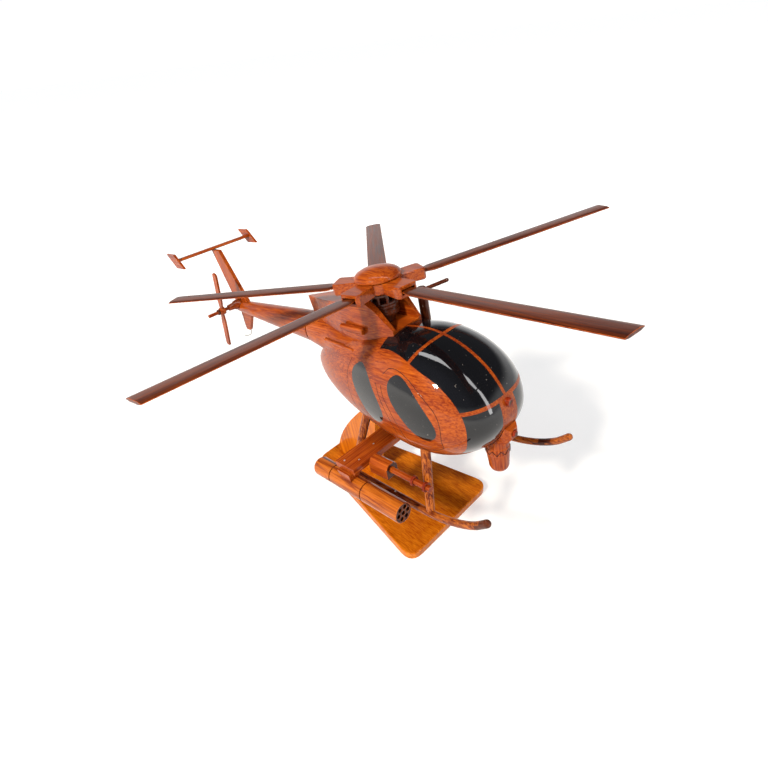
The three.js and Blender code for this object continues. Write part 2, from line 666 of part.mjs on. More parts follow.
function chinLens() {
  const face = chin.x + chin.out;
  const { lensR: r, lensOut: out, lensIn } = chin;
  return turned([[0, -lensIn], [r, -lensIn], [r, out - 0.8], [r - 0.8, out], [0, out]], 20,
    v3(1, 0, 0)).translate([face, 0, chin.z]);
}

function sensorSolid() {
  const { x, r, lowR, bottom, ring: ringZ } = sensor;
  const top = pod.z - 5;
  const profile = [[0, bottom], [lowR * 0.55, bottom + 0.4], [lowR * 0.85, bottom + 1.8],
    [lowR, bottom + 4.5], [r - 0.4, ringZ - 3], [r, ringZ - 2.6], [r, ringZ + 2.6],
    [r - 0.4, ringZ + 3], [r - 0.4, top], [0, top]];
  return cut(turned(profile, 24).translate([x, 0, 0]), podSkin(fitGap));
}

function dowelSolid() {
  const { r, rear, front, y, z } = sideDowel;
  return cut(bar(v3(rear, -y, z), v3(front, -y, z), r, r, 20), podSkin(fitGap), cowlBlock());
}

// The cowling's outer block, a little enlarged, for what is fitted against its side.
function cowlBlock() {
  const c = cowl;
  const g = fitGap;
  const shape = outlineOf([[c.bellyX - 20, -c.bellyHalf + 5 - g], [c.bellyX, -c.bellyHalf + 1 - g],
    [-12, -c.half - g], [c.frontX + g, -c.half - g], [c.lipX + g, -c.lipHalf - g],
    [c.lipX + g, c.lipHalf + g], [c.frontX + g, c.half + g], [-12, c.half + g],
    [c.bellyX, c.bellyHalf - 1 + g], [c.bellyX - 20, c.bellyHalf - 5 + g]]);
  return slabXY(shape, -75, 5);
}

function rodSolid() {
  const [a, b] = [sideRod.rear, sideRod.front].map(([x, y, z]) => v3(x, -y, z));
  const r = sideRod.r;
  const ball = new THREE.SphereGeometry(r * 1.25, 10, 7).translate(a.x, a.y, a.z);
  return cut(bar(a, b, r, r, 14).add(toSolid(ball)), podSkin(fitGap));
}

function postSolid() {
  const { r, x, y, foot, top } = post;
  const body = turned([[0, foot], [r, foot], [r, top - 1], [r - 1, top], [0, top]], 24)
    .translate([x, y, 0]);
  return cut(body, podSkin(fitGap), cowlBlock());
}

function aerialSolid() {
  const from = v3(...aerial.from);
  const to = v3(...aerial.to);
  const ball = new THREE.SphereGeometry(aerial.r, 10, 7).translate(to.x, to.y, to.z);
  const hole = bar(v3(post.x, post.y, -60), v3(post.x, post.y, 20), post.r + fitGap,
    post.r + fitGap, 24);
  return cut(bar(from, to, aerial.r, aerial.r, 14).add(toSolid(ball)), hole);
}

// ---- stand ----

function baseOutline() {
  const { rear, front, rearHalf, frontHalf, rearRadius, frontRadius } = base;
  const corners = [[rear, -rearHalf, rearRadius], [front, -frontHalf, frontRadius],
    [front, frontHalf, frontRadius], [rear, rearHalf, rearRadius]];
  const shape = new THREE.Shape();
  corners.forEach(([x, y, r], i) => {
    const here = new THREE.Vector2(x, y);
    const before = new THREE.Vector2(...corners[(i + 3) % 4]);
    const after = new THREE.Vector2(...corners[(i + 1) % 4]);
    const a = here.clone().add(before.sub(here).setLength(r));
    const b = here.clone().add(after.sub(here).setLength(r));
    if (i === 0) shape.moveTo(a.x, a.y);
    else shape.lineTo(a.x, a.y);
    shape.quadraticCurveTo(here.x, here.y, b.x, b.y);
  });
  shape.closePath();
  return shape;
}

const screwXs = () => [stand.rearFoot + screw.inset, stand.frontFoot - screw.inset];

function screwHole(x) {
  const { r, headR, headDepth, length } = screw;
  return turned([[0, -1], [headR + fitGap, -1], [headR + fitGap, 0.4], [r + fitGap,
    headDepth + 0.6], [r + fitGap, length + 0.8], [0, length + 0.8]], 20).translate([x, 0, 0]);
}

function screwSolid(x) {
  const { r, headR, headDepth, length } = screw;
  const low = 0.5;
  const body = turned([[0, low], [headR, low], [r, low + headDepth], [r, length - 3],
    [0, length]], 20);
  const slot = box(-headR - 1, headR + 1, -0.4, 0.4, 0, low + 0.9);
  return body.subtract(slot).translate([x, 0, 0]);
}

const baseBoard = () => cut(slabXY(baseOutline(), 0, base.thick, base.edge),
  ...screwXs().map(screwHole));

// Into the stand's frame from the helicopter's own.
const toWorld = (solid) => solid.rotate([0, THREE.MathUtils.radToDeg(-noseUp), 0])
  .translate([0, 0, hubHeight]);

function standSolid() {
  const { thick, rearFoot, frontFoot, topFront, topRear, bowTop, bowX, bowZ } = stand;
  const z0 = base.thick + fitGap;
  const z1 = hubHeight + pod.z;
  const shape = new THREE.Shape();
  shape.moveTo(rearFoot, z0);
  shape.lineTo(frontFoot, z0);
  shape.lineTo(topFront, z1);
  shape.lineTo(topRear, z1);
  shape.lineTo(topRear, bowTop);
  shape.quadraticCurveTo(bowX, bowZ, rearFoot, z0);
  return cut(slabXZ(shape, thick), toWorld(podSkin(fitGap)), toWorld(pinHole()),
    toWorld(plankGrown()), ...screwXs().map(screwHole));
}

const plankGrown = () => box(plank.rear - fitGap, plank.front + fitGap, -90, 90,
  plank.top - plank.thick - fitGap, plank.top + fitGap);

function bellyPinSolid() {
  const z = keelZ(bellyPin.x);
  return bar(v3(bellyPin.x, 0, z - bellyPin.out), v3(bellyPin.x, 0, z + bellyPin.into),
    bellyPin.r);
}

// ---- assembly ----

const model = new THREE.Group();
piece('base_board', baseBoard(), goldwood, model);
piece('stand_upright', standSolid(), goldwood, model);
screwXs().forEach((x, i) => piece(`stand_screw_${i + 1}`, screwSolid(x), steel, model));

const craft = new THREE.Group();
craft.position.z = hubHeight;
craft.rotation.y = -noseUp;
model.add(craft);

piece('fuselage_pod', podSolid(), redwood, craft);
piece('belly_pin', bellyPinSolid(), redwood, craft);
piece('engine_cowling', cowlSolid(), redwood, craft);
piece('tail_boom', cut(boomSolid(), boomHole()), redwood, craft);
piece('vertical_fin', finSolid(), redwood, craft);
piece('ventral_fin', ventralSolid(), redwood, craft);
piece('tail_bumper_wire', bumperSolid(), steel, craft);
piece('stabilizer', stabSolid(), redwood, craft);
piece('end_plate_starboard', plateSolid(-1), redwood, craft);
piece('end_plate_port', plateSolid(1), redwood, craft);

piece('tail_gear_housing', gearHousing(), redwood, craft);
piece('tail_rotor_shaft', tailShaft(), redwood, craft);
piece('tail_rotor_hub', tailHub(), redwood, craft);
piece('tail_rotor_blade_1', tailBlade(1), redwood, craft);
piece('tail_rotor_blade_2', tailBlade(-1), redwood, craft);
piece('tail_rotor_nut', tailNut(), darkwood, craft);

piece('rotor_mast', mastSolid(), darkwood, craft);
piece('swashplate_drum', drumSolid(), darkwood, craft);
piece('pitch_rod_cage', cageSolid(), darkwood, craft);
piece('rotor_hub', hubSolid(), redwood, craft);
piece('hub_dome_cap', domeSolid(), redwood, craft);
rotor.bearings.forEach((turn, i) => {
  const arm = new THREE.Group();
  arm.rotation.z = THREE.MathUtils.degToRad(turn);
  craft.add(arm);
  piece(`main_blade_${i + 1}`, bladeSolid(rotor.rises[i]), redwood, arm);
});

[['starboard', -1], ['port', 1]].forEach(([name, side]) => {
  piece(`skid_tube_${name}`, skidSolid(side), redwood, craft);
  piece(`front_strut_${name}`, strutSolid(side, frontStrut), redwood, craft);
  piece(`rear_strut_${name}`, strutSolid(side, rearStrut), redwood, craft);
  piece(`rocket_pylon_${name}`, pylonSolid(side), redwood, craft);
  piece(`rocket_pod_${name}`, rocketSolid(side), redwood, craft);
  piece(`gun_body_${name}`, gunBody(side), redwood, craft);
  piece(`gun_barrels_${name}`, barrels(side), redwood, craft);
  piece(`barrel_collar_rear_${name}`, collar(side, gun.muzzle - 18), darkwood, craft);
  piece(`barrel_collar_front_${name}`, collar(side, gun.muzzle - 6), darkwood, craft);
});
piece('stores_plank', plankSolid(), redwood, craft);

piece('nose_lens', noseLensSolid(), redwood, craft);
piece('chin_sensor_box', chinSolid(), redwood, craft);
piece('chin_lens', chinLens(), redwood, craft);
piece('sensor_turret', sensorSolid(), redwood, craft);
piece('side_dowel', dowelSolid(), redwood, craft);
piece('side_rod', rodSolid(), redwood, craft);
piece('upper_post', postSolid(), darkwood, craft);
piece('upper_post_rod', aerialSolid(), darkwood, craft);

export default model;
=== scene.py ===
import json
import math
import bpy
import bmesh
from mathutils import Matrix, Vector
from mathutils.bvhtree import BVHTree


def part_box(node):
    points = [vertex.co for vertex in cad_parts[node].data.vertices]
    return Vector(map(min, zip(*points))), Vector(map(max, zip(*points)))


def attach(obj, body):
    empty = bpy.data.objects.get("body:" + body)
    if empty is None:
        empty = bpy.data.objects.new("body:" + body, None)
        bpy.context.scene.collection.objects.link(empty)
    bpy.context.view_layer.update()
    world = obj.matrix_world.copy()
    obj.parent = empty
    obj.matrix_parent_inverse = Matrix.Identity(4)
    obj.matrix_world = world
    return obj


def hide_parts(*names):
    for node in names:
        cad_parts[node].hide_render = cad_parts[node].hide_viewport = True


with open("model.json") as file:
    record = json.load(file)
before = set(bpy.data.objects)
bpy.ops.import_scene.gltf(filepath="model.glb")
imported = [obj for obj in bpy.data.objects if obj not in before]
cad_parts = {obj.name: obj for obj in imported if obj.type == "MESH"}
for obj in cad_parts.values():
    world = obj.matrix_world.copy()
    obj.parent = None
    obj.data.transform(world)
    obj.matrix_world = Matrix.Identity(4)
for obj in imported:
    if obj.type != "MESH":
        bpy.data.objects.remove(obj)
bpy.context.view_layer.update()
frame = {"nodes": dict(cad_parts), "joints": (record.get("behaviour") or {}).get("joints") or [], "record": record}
mm = 0.001

# The helicopter's own frame: its origin is the rotor hub and its Z the mast, tipped nose-up.
mainJoint = next(j for j in frame["joints"] if j["name"] == "main_rotor_spin")
tailJoint = next(j for j in frame["joints"] if j["name"] == "tail_rotor_spin")
mastAxis = Vector(mainJoint["axis"]).normalized()
noseAxis = Vector((0, 1, 0)).cross(mastAxis)
craft = Matrix((noseAxis, (0, 1, 0), mastAxis)).transposed().to_4x4()
craft.translation = Vector(mainJoint["pos_m"])
toCraft = craft.inverted()
bodyOf = {node: body for body, nodes in frame["record"]["behaviour"]["bodies"].items()
          for node in nodes}
slotOf = {part["node"]: part["material_slot"] for part in frame["record"]["subparts"]}


class Sockets:
    # Builds shader nodes in one tree, and hands back their output sockets.
    def __init__(self, material):
        material.use_nodes = True
        self.tree = material.node_tree
        self.tree.nodes.clear()

    def node(self, kind, **settings):
        made = self.tree.nodes.new(kind)
        for key, value in settings.items():
            setattr(made, key, value)
        return made

    def feed(self, socket, value):
        if isinstance(value, bpy.types.NodeSocket):
            self.tree.links.new(value, socket)
        else:
            socket.default_value = value

    def calc(self, operation, *values):
        made = self.node("ShaderNodeMath", operation=operation)
        for socket, value in zip(made.inputs, values):
            self.feed(socket, value)
        return made.outputs[0]

    def step(self, value, low, high, result=(0.0, 1.0), smooth=True):
        made = self.node("ShaderNodeMapRange",
                         interpolation_type="SMOOTHSTEP" if smooth else "LINEAR")
        for name, item in (("Value", value), ("From Min", low), ("From Max", high),
                           ("To Min", result[0]), ("To Max", result[1])):
            self.feed(made.inputs[name], item)
        return made.outputs[0]

    def stretch(self, vector, scale):
        made = self.node("ShaderNodeMapping")
        self.feed(made.inputs["Vector"], vector)
        made.inputs["Scale"].default_value = scale
        return made.outputs[0]

    def cloud(self, vector, scale=1.0, detail=4.0, rough=0.55, twist=0.0):
        made = self.node("ShaderNodeTexNoise")
        self.feed(made.inputs["Vector"], vector)
        made.inputs["Scale"].default_value = scale
        made.inputs["Detail"].default_value = detail
        made.inputs["Roughness"].default_value = rough
        made.inputs["Distortion"].default_value = twist
        return made.outputs["Fac"]

    def blendColour(self, share, first, second):
        made = self.node("ShaderNodeMix", data_type="RGBA", blend_type="MIX")
        self.feed(made.inputs["Factor"], share)
        for socket, value in ((made.inputs[6], first), (made.inputs[7], second)):
            self.feed(socket, (*value, 1) if isinstance(value, tuple) else value)
        return made.outputs[2]

    def ramp(self, value, stops):
        made = self.node("ShaderNodeValToRGB")
        self.feed(made.inputs["Fac"], value)
        points = made.color_ramp.elements
        while len(points) < len(stops):
            points.new(0.5)
        for point, (place, colour) in zip(points, stops):
            point.position = place
            point.color = (*colour, 1)
        return made.outputs["Color"]

    def bump(self, height, strength, distance):
        made = self.node("ShaderNodeBump")
        self.feed(made.inputs["Height"], height)
        made.inputs["Strength"].default_value = strength
        made.inputs["Distance"].default_value = distance
        return made.outputs["Normal"]


def grainAt(sockets):
    return sockets.node("ShaderNodeAttribute", attribute_name="grain").outputs["Vector"]


# "grain" is how often the figure repeats along and across the timber, per millimetre.
mahogany = {"dark": (0.045, 0.004, 0.001), "middle": (0.185, 0.022, 0.002),
            "light": (0.45, 0.094, 0.007), "figure": 0.34, "pores": 0.42,
            "grain": (0.008, 0.07), "tone": (0.27, 0.82)}
honeyWood = {"dark": (0.17, 0.024, 0.001), "middle": (0.32, 0.060, 0.001),
             "light": (0.62, 0.180, 0.006), "figure": 0.42, "pores": 0.35,
             "grain": (0.007, 0.075), "tone": (0.28, 0.78)}
smokedWood = {"dark": (0.012, 0.002, 0.001), "middle": (0.042, 0.007, 0.002),
              "light": (0.11, 0.022, 0.005), "figure": 0.5, "pores": 0.4,
              "grain": (0.01, 0.1), "tone": (0.28, 0.86)}
specklyWood = {"dark": (0.018, 0.003, 0.001), "middle": (0.13, 0.020, 0.003),
               "light": (0.40, 0.105, 0.012), "figure": 0.8, "pores": 0.8,
               "grain": (0.06, 0.36), "tone": (0.46, 0.84)}
streakyWood = {"dark": (0.018, 0.003, 0.001), "middle": (0.17, 0.026, 0.003),
               "light": (0.44, 0.11, 0.009), "figure": 0.85, "pores": 0.7,
               "grain": (0.013, 0.22), "tone": (0.47, 0.82)}
bladeWood = {"dark": (0.010, 0.002, 0.001), "middle": (0.042, 0.006, 0.001),
             "light": (0.15, 0.028, 0.004), "figure": 0.6, "pores": 0.5,
             "grain": (0.008, 0.12), "tone": (0.30, 0.84)}
lensWood = {"dark": (0.025, 0.002, 0.001), "middle": (0.10, 0.008, 0.002),
            "light": (0.22, 0.022, 0.004), "figure": 0.5, "pores": 0.4,
            "grain": (0.02, 0.1), "tone": (0.28, 0.8)}
lacquer = {"coat": 0.38, "coatRoughness": 0.035, "roughness": (0.30, 0.46), "ripple": 0.05,
           "shine": 0.05, "blackCoat": 0.95}


def woodColour(s, look):
    grain = grainAt(s)
    lengthways, across = look["grain"]
    figure = s.cloud(s.stretch(grain, (lengthways, across, across)), 1.0, 4, 0.5, 1.2)
    streak = s.cloud(s.stretch(grain, (0.022, 0.85, 0.85)), 1.0, 6, 0.62, 0.5)
    fine = s.cloud(s.stretch(grain, (0.09, 3.6, 3.6)), 1.0, 3, 0.6)
    pore = s.step(fine, 0.60, 0.72)
    tone = s.calc("ADD", s.calc("MULTIPLY", figure, look["figure"]),
                  s.calc("MULTIPLY", streak, 1.0 - 0.5 * look["figure"]))
    tone = s.step(tone, *look["tone"], smooth=False)
    colour = s.ramp(tone, [(0.0, look["dark"]), (0.42, look["middle"]), (0.95, look["light"])])
    dark = tuple(c * 0.45 for c in look["dark"])
    colour = s.blendColour(s.calc("MULTIPLY", pore, look["pores"]), colour, dark)
    return grain, colour, streak, pore


def finishWood(name, look, worn=False):
    material = bpy.data.materials.new(name)
    s = Sockets(material)
    grain, colour, streak, pore = woodColour(s, look)
    # On the main blade edges the lighter corners are painted highlight as well as wear.
    if worn:  # the lacquer is rubbed thin on the corners
        rub = s.step(s.cloud(s.stretch(grain, (0.3, 0.3, 0.3)), 1.0, 4), 0.40, 0.65)
        colour = s.blendColour(s.calc("MULTIPLY", rub, 0.55), colour,
                               tuple(min(1, c * 1.25) for c in look["light"]))
    shader = s.node("ShaderNodeBsdfPrincipled")
    s.feed(shader.inputs["Base Color"], colour)
    low, high = lacquer["roughness"]
    s.feed(shader.inputs["Roughness"], s.step(streak, 0.3, 0.7, (low, high)))
    shader.inputs["Specular IOR Level"].default_value = lacquer["shine"]
    shader.inputs["Coat Weight"].default_value = lacquer["coat"] * (0.7 if worn else 1.0)
    shader.inputs["Coat Roughness"].default_value = lacquer["coatRoughness"]
    s.feed(shader.inputs["Normal"], s.bump(pore, 0.12, 0.0002))
    ripple = s.cloud(s.stretch(grain, (0.05, 0.16, 0.16)), 1.0, 2)
    s.feed(shader.inputs["Coat Normal"], s.bump(ripple, lacquer["ripple"], 0.004))
    out = s.node("ShaderNodeOutputMaterial")
    s.feed(out.inputs["Surface"], shader.outputs[0])
    return material


def finishSteel(name):
    material = bpy.data.materials.new(name)
    s = Sockets(material)
    grain = grainAt(s)
    scratch = s.cloud(s.stretch(grain, (0.2, 6, 6)), 1.0, 3)
    spot = s.step(s.cloud(s.stretch(grain, (1, 1, 1)), 1.0, 4), 0.55, 0.75)
    shader = s.node("ShaderNodeBsdfPrincipled")
    s.feed(shader.inputs["Base Color"], s.blendColour(s.calc("MULTIPLY", spot, 0.5),
                                                     (0.46, 0.45, 0.43), (0.16, 0.09, 0.05)))
    shader.inputs["Metallic"].default_value = 1.0
    s.feed(shader.inputs["Roughness"], s.step(scratch, 0.3, 0.7, (0.28, 0.5)))
    s.feed(shader.inputs["Normal"], s.bump(scratch, 0.1, 0.0002))
    out = s.node("ShaderNodeOutputMaterial")
    s.feed(out.inputs["Surface"], shader.outputs[0])
    return material


# Where the pod is painted black, in millimetres in the helicopter's frame.
canopy = {"rear": 17.5, "bottom": -118.0, "halfRear": 27.0, "halfFront": 33.8, "tuck": 4.5,
          "mullion": 1.35, "crossX": 57.6, "crossBow": 0.0066, "sillZ": -70.4, "panelHalf": 8.0,
          "panelFlare": 0.05}
doorWindow = {"x": 56.9, "z": -71.8, "tilt": 48.4, "long": 26.3, "wide": 11.8, "power": 2.6}
rearWindow = {"x": 8.5, "z": -73.8, "tilt": 54.9, "long": 24.0, "wide": 13.0, "power": 2.8}


def windowMask(s, x, z, hole):
    c, n = math.cos(math.radians(hole["tilt"])), math.sin(math.radians(hole["tilt"]))
    dx = s.calc("SUBTRACT", x, hole["x"])
    dz = s.calc("SUBTRACT", z, hole["z"])
    along = s.calc("SUBTRACT", s.calc("MULTIPLY", dx, c), s.calc("MULTIPLY", dz, n))
    across = s.calc("ADD", s.calc("MULTIPLY", dx, n), s.calc("MULTIPLY", dz, c))
    total = s.calc("ADD",
                   s.calc("POWER", s.calc("DIVIDE", s.calc("ABSOLUTE", along), hole["long"]),
                          hole["power"]),
                   s.calc("POWER", s.calc("DIVIDE", s.calc("ABSOLUTE", across), hole["wide"]),
                          hole["power"]))
    return s.step(total, 1.03, 0.99)


def canopyMask(s, x, y, z):
    half = s.calc("ABSOLUTE", y)
    soft = 0.12
    edge = s.step(x, 20, 66, (canopy["halfRear"], canopy["halfFront"]))
    edge = s.calc("SUBTRACT", edge, s.step(z, -88, -114, (0, canopy["tuck"])))
    black = s.calc("MULTIPLY", s.step(s.calc("SUBTRACT", edge, half), -soft, soft),
                   s.step(x, canopy["rear"] - soft, canopy["rear"] + soft))
    black = s.calc("MULTIPLY", black, s.step(z, canopy["bottom"] - soft, canopy["bottom"] + soft))
    m = canopy["mullion"]
    bow = s.calc("MULTIPLY", s.calc("MULTIPLY", half, half), canopy["crossBow"])
    cross = s.calc("ABSOLUTE", s.calc("SUBTRACT", s.calc("ADD", x, bow), canopy["crossX"]))
    above = s.step(z, canopy["sillZ"] - soft, canopy["sillZ"] + soft)
    sill = s.calc("ABSOLUTE", s.calc("SUBTRACT", z, canopy["sillZ"]))
    panel = s.calc("ADD", canopy["panelHalf"],
                   s.calc("MULTIPLY", s.calc("SUBTRACT", canopy["sillZ"], z), canopy["panelFlare"]))
    bars = [s.step(half, m + soft, m - soft),
            s.calc("MULTIPLY", s.step(cross, m + soft, m - soft), above),
            s.step(sill, m + soft, m - soft),
            s.calc("MULTIPLY", s.step(s.calc("SUBTRACT", panel, half), -soft, soft),
                   s.calc("SUBTRACT", 1.0, above))]
    wood = bars[0]
    for bar in bars[1:]:
        wood = s.calc("MAXIMUM", wood, bar)
    return s.calc("MULTIPLY", black, s.calc("SUBTRACT", 1.0, wood))


def finishPod(name, look):
    material = bpy.data.materials.new(name)
    s = Sockets(material)
    grain, colour, streak, pore = woodColour(s, look)
    place = s.stretch(s.node("ShaderNodeTexCoord").outputs["Object"], (1000, 1000, 1000))
    split = s.node("ShaderNodeSeparateXYZ")
    s.feed(split.inputs[0], place)
    x, y, z = split.outputs
    mask = s.calc("MAXIMUM", canopyMask(s, x, y, z),
                  s.calc("MAXIMUM", windowMask(s, x, z, doorWindow),
                         windowMask(s, x, z, rearWindow)))
    dust = s.step(s.cloud(s.stretch(grain, (0.5, 0.5, 0.5)), 1.0, 1), 0.745, 0.77)
    black = s.blendColour(dust, (0.003, 0.003, 0.004), (0.10, 0.09, 0.08))
    shader = s.node("ShaderNodeBsdfPrincipled")
    s.feed(shader.inputs["Base Color"], s.blendColour(mask, colour, black))
    low, high = lacquer["roughness"]
    woodRough = s.step(streak, 0.3, 0.7, (low, high))
    rough = s.calc("ADD", s.calc("MULTIPLY", woodRough, s.calc("SUBTRACT", 1.0, mask)),
                   s.calc("MULTIPLY", mask, 0.10))
    s.feed(shader.inputs["Roughness"], rough)
    shader.inputs["Specular IOR Level"].default_value = lacquer["shine"]
    s.feed(shader.inputs["Coat Weight"],
           s.step(mask, 0, 1, (lacquer["coat"], lacquer["blackCoat"]), smooth=False))
    shader.inputs["Coat Roughness"].default_value = 0.03
    height = s.calc("ADD", s.calc("MULTIPLY", pore, s.calc("SUBTRACT", 1.0, mask)),
                    s.calc("MULTIPLY", mask, -0.8))
    s.feed(shader.inputs["Normal"], s.bump(height, 0.12, 0.0002))
    ripple = s.cloud(s.stretch(grain, (0.03, 0.05, 0.05)), 1.0, 2)
    s.feed(shader.inputs["Coat Normal"], s.bump(ripple, 0.06, 0.004))
    out = s.node("ShaderNodeOutputMaterial")
    s.feed(out.inputs["Surface"], shader.outputs[0])
    return material


looks = {"redwood": mahogany, "golden_wood": honeyWood, "dark_wood": smokedWood}
finishes = {slot: (finishWood(slot, look), finishWood(slot + "_worn", look, True))
            for slot, look in looks.items()}
finishes["steel"] = (finishSteel("steel"),) * 2
finishes["speckled"] = (finishWood("speckled_dowel", specklyWood),
                        finishWood("speckled_dowel_worn", specklyWood, True))
finishes["streaky"] = (finishWood("streaky_tube", streakyWood),
                       finishWood("streaky_tube_worn", streakyWood, True))
# The main blades' bevelled edges take lighter mahogany: painted highlight along the blade edges as well as wear.
finishes["blade"] = (finishWood("blade_wood", bladeWood),
                     finishWood("blade_edge_wear_and_highlight", mahogany, True))
finishes["lens"] = (finishWood("lens_wood", lensWood), finishWood("lens_wood_worn", lensWood, True))
podFinish = finishPod("pod_finish", mahogany)
# Painted shade: the scribed door lines and the carved turret band are dark lines standing for the shade inside
# engraved grooves.
grooveFinish = finishWood("scribed_line", {**smokedWood, "light": smokedWood["middle"]})
print("finishes made")


def seedOf(name):
    return Vector([sum((i + 3) * (k + 5) * ord(c) for i, c in enumerate(name)) % span
                   for k, span in enumerate((911, 457, 389))])


def writeGrain(mesh, name, world, along=None):
    # Grain coordinates in millimetres: X runs with the grain of the timber.
    points = [toCraft @ (world @ v.co) for v in mesh.vertices]
    if along is None:
        spans = [max(p[i] for p in points) - min(p[i] for p in points) for i in range(3)]
        along = Vector([1.0 if i == spans.index(max(spans)) else 0.0 for i in range(3)])
    turn = along.normalized().rotation_difference(Vector((1, 0, 0)))
    offset = seedOf(name)
    layer = mesh.attributes.new("grain", "FLOAT_VECTOR", "POINT")
    for item, point in zip(layer.data, points):
        item.vector = turn @ (point * 1000) + offset


def addPiece(name, mesh, body, world=Matrix.Identity(4), along=None, finish=None, worn=None):
    writeGrain(mesh, name, world, along)
    mesh.materials.append(finish)
    if worn:
        mesh.materials.append(worn)
    mesh.polygons.foreach_set("use_smooth", [True] * len(mesh.polygons))
    piece = bpy.data.objects.new(name, mesh)
    bpy.context.scene.collection.objects.link(piece)
    piece.matrix_world = world
    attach(piece, body)
    return piece


rounding = {"segments": 2, "angle": 38, "weight": 60}


def soften(piece, width):
    bevel = piece.modifiers.new("round", "BEVEL")
    bevel.width = width
    bevel.segments = rounding["segments"]
    bevel.limit_method = "ANGLE"
    bevel.angle_limit = math.radians(rounding["angle"])
    bevel.use_clamp_overlap = True
    bevel.material = 1  # the worn finish
    normals = piece.modifiers.new("normals", "WEIGHTED_NORMAL")
    normals.weight = rounding["weight"]
    normals.keep_sharp = False


def plainMesh(name, node):
    # The CAD node's shape with its flat faces whole again.
    source = frame["nodes"][node].data
    mesh = bpy.data.meshes.new(name)
    mesh.from_pydata([v.co for v in source.vertices], [],
                     [tuple(p.vertices) for p in source.polygons])
    bm = bmesh.new()
    bm.from_mesh(mesh)
    bmesh.ops.remove_doubles(bm, verts=bm.verts, dist=2e-6)
    bmesh.ops.dissolve_limit(bm, angle_limit=math.radians(0.8), verts=bm.verts, edges=bm.edges)
    bm.to_mesh(mesh)
    bm.free()
    return mesh


def middleOf(node):
    low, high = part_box(node)
    return (low + high) / 2


def craftBox(node):
    spots = [toCraft @ v.co * 1000 for v in frame["nodes"][node].data.vertices]
    return (Vector([min(p[i] for p in spots) for i in range(3)]),
            Vector([max(p[i] for p in spots) for i in range(3)]))


def darken(piece, isDark):
    # Faces that isDark picks, by their middle in millimetres and their facing, go dark.
    piece.data.materials.append(finishes["dark_wood"][0])
    for face in piece.data.polygons:
        if isDark((toCraft @ face.center) * 1000, toCraft.to_3x3() @ face.normal):
            face.material_index = 2


def dressNode(node, finish, width, along):
    clean, worn = finishes[finish or slotOf[node]]
    piece = addPiece(node + "_finish", plainMesh(node + "_finish", node), bodyOf[node],
                     along=along, finish=clean, worn=worn)
    soften(piece, width * mm)
    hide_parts(node)
    return piece


def skinned(name, rings):
    # A closed skin over rings of points.
    count = len(rings[0])
    points = [p for ring in rings for p in ring]
    faces = []
    for i in range(len(rings) - 1):
        for j in range(count):
            k = (j + 1) % count
            faces.append((i * count + j, i * count + k, (i + 1) * count + k, (i + 1) * count + j))
    faces.append(tuple(reversed(range(count))))
    faces.append(tuple((len(rings) - 1) * count + j for j in range(count)))
    mesh = bpy.data.meshes.new(name)
    mesh.from_pydata(points, [], faces)
    bm = bmesh.new()
    bm.from_mesh(mesh)
    bmesh.ops.recalc_face_normals(bm, faces=bm.faces)
    bm.to_mesh(mesh)
    bm.free()
    return mesh


def signedPower(value, power):
    return math.copysign(abs(value) ** power, value)


# The pod is one egg with its shoulder, blended as if carved from a block.
podShape = {"x": 42.0, "z": -85.5, "front": 67.0, "rear": 146.0, "half": 47.5, "top": 55.2,
            "bottom": 45.5, "nose": 1.9, "noseWidth": 2.6, "tail": 1.55, "upper": 2.35,
            "lower": 2.05, "steps": 90, "around": 120, "voxel": 1.1, "blend": 7}
shoulderShape = {"rear": -100.0, "front": 4.0, "rearHalf": 15.2, "midHalf": 23.0,
                 "frontHalf": 20.0, "top": -39.0, "down": 17.0}


def swell(share, power):
    return max(0.0, 1 - abs(share) ** power) ** (1 / power)


def podRing(x, zMid, half, up, down, upper, lower):
    ring = []
    for j in range(podShape["around"]):
        t = 2 * math.pi * j / podShape["around"]
        e = 2 / (upper if math.sin(t) > 0 else lower)
        z = signedPower(math.sin(t), e) * (up if math.sin(t) > 0 else down)
        ring.append(Vector((x, half * signedPower(math.cos(t), e), zMid + z)) * mm)
    return ring


def eggRings():
    p = podShape
    rings = []
    for i in range(1, p["steps"]):
        c = math.cos(math.pi * (1 - i / p["steps"]))
        plan, length = (p["nose"], p["front"]) if c > 0 else (p["tail"], p["rear"])
        share = signedPower(c, 2 / plan)
        tall = swell(share, plan)
        wide = swell(share, p["noseWidth"] if c > 0 else p["tail"])
        rings.append(podRing(p["x"] + share * length, p["z"], wide * p["half"], tall * p["top"],
                             tall * p["bottom"], p["upper"], p["lower"]))
    return rings


def shoulderRings():
    s = shoulderShape
    stations = [(0, s["rearHalf"], s["rearHalf"], 0), (0.22, s["rearHalf"] + 2.5,
                s["rearHalf"] + 2, 0), (0.55, s["midHalf"], s["down"], 0),
                (0.8, s["midHalf"], s["down"], 0), (1, s["frontHalf"], s["down"], -1.5)]
    rings = []
    for i in range(41):
        t = i / 40
        k = max(n for n in range(len(stations) - 1) if stations[n][0] <= t)
        a, b = stations[k], stations[k + 1]
        f = (t - a[0]) / (b[0] - a[0])
        f = f * f * (3 - 2 * f) if 0 < k < 2 else f
        half, down, dip = (a[n] + (b[n] - a[n]) * f for n in (1, 2, 3))
        up = min(half, down)
        x = s["rear"] + t * (s["front"] - s["rear"])
        rings.append(podRing(x, s["top"] + dip - up, half, up, down, 2.1, 2.1))
    return rings


